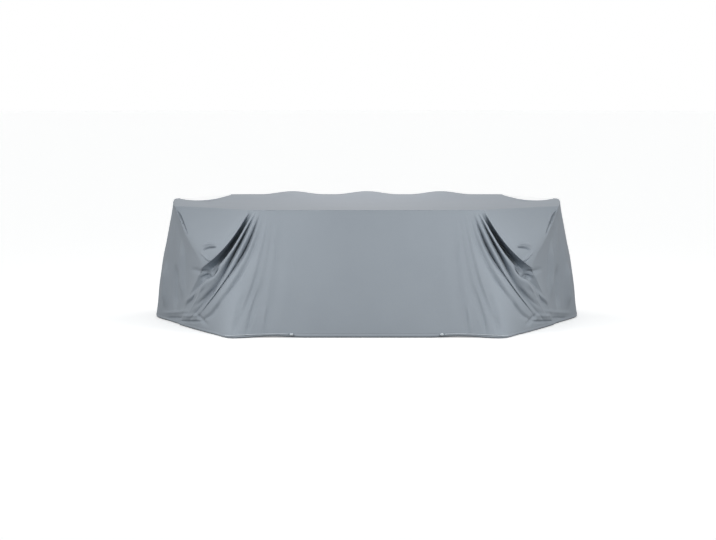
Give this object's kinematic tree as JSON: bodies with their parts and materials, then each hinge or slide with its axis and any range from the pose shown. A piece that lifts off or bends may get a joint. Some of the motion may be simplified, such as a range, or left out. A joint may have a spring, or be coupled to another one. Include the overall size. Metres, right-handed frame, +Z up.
{
  "type": "patio furniture cover",
  "caption": "Fitted cloth cover in its draped shape: level rectangular top, drooping corner flaps, folds gathered beside them, and a hem with drawcord ends and cord stops.",
  "frame": {"origin": "on the floor, under the middle of the cover's outline", "axes": "+X to the right as seen from the front, -Y toward the front, +Z up"},
  "size_m": [3.264, 2.1538, 0.9242],
  "materials": {
    "coated_cloth": "matte coated polyester, cool grey",
    "cord": "matte braided cord, pale grey",
    "stop_plastic": "satin, pale grey"
  },
  "bodies": {
    "root": {"top_panel": "coated_cloth", "skirt": "coated_cloth", "drawcord_left": "cord", "drawcord_right": "cord", "cord_stop_left": "stop_plastic", "cord_stop_right": "stop_plastic"}
  },
  "joints": []
}
